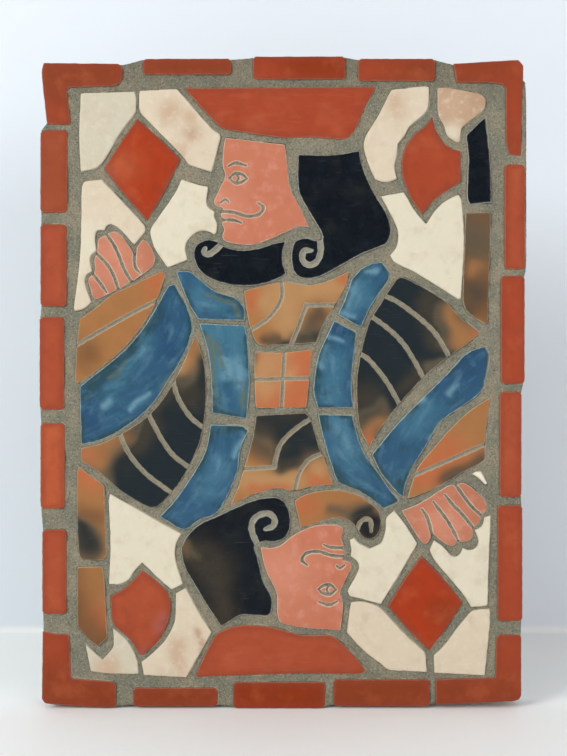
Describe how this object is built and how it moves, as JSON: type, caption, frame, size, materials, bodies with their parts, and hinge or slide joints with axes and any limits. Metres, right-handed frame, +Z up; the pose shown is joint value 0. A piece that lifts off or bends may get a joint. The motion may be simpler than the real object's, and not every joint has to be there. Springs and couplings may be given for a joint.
{
  "type": "mosaic tile panel",
  "caption": "Upright wall panel of hand-cut ceramic tiles set in mortar: a double-ended court-card figure inside a border of terracotta bricks.",
  "frame": {"origin": "centre of the flat back face of the mortar slab", "axes": "+X to the right of someone who faces the tiles, +Z up, +Y into the wall; the tiles face -Y"},
  "size_m": [0.3615, 0.025, 0.4832],
  "materials": {
    "mortar": "rough sandy grey-tan joint mortar",
    "terracotta": "matte fired terracotta",
    "cream_slip": "satin cream slip, pin holes and faint stains",
    "flesh_slip": "satin pink slip with pale patches",
    "black_glaze": "worn black glaze",
    "blue_glaze": "brushed blue glaze, darker where it pools",
    "ochre_slip": "ochre slip smoked to black"
  },
  "bodies": {
    "root": {"band_left": "blue_glaze", "band_right": "blue_glaze", "bar_lower_low": "ochre_slip", "bar_lower_top": "ochre_slip", "bar_upper_low": "ochre_slip", "bar_upper_top": "black_glaze", "border_bottom_1": "terracotta", "border_bottom_2": "terracotta", "border_bottom_3": "terracotta", "border_corner_bottom_left": "terracotta", "border_corner_bottom_right": "terracotta", "border_corner_top_left": "terracotta", "border_corner_top_right": "terracotta", "border_left_1": "terracotta", "border_left_2": "terracotta", "border_left_3": "terracotta", "border_left_4": "terracotta", "border_left_5": "terracotta", "border_right_1": "terracotta", "border_right_2": "terracotta", "border_right_3": "terracotta", "border_right_4": "terracotta", "border_top_1": "terracotta", "border_top_2": "terracotta", "border_top_3": "terracotta", "chest_lower": "ochre_slip", "chest_squares": "ochre_slip", "chest_upper": "ochre_slip", "collar_lower": "ochre_slip", "collar_upper": "black_glaze", "cuff_left": "ochre_slip", "cuff_right": "ochre_slip", "diamond_lower": "terracotta", "diamond_upper": "terracotta", "face_lower": "flesh_slip", "face_upper": "flesh_slip", "ground_brim_low": "cream_slip", "ground_face": "cream_slip", "ground_face_low": "cream_slip", "ground_hand": "cream_slip", "ground_hand_low": "cream_slip", "ground_petal": "cream_slip", "ground_petal_low": "cream_slip", "hair_lower": "black_glaze", "hair_upper": "black_glaze", "hand_lower": "flesh_slip", "hand_upper": "flesh_slip", "hat_lower": "terracotta", "hat_upper": "terracotta", "lapel_left_low": "blue_glaze", "lapel_left_top": "blue_glaze", "lapel_right_low": "blue_glaze", "lapel_right_mid": "blue_glaze", "lapel_right_top": "blue_glaze", "mortar_bed": "mortar", "petal_lower": "terracotta", "petal_upper": "terracotta", "sleeve_left": "ochre_slip", "sleeve_right": "ochre_slip", "yoke_left": "blue_glaze"}
  },
  "joints": []
}
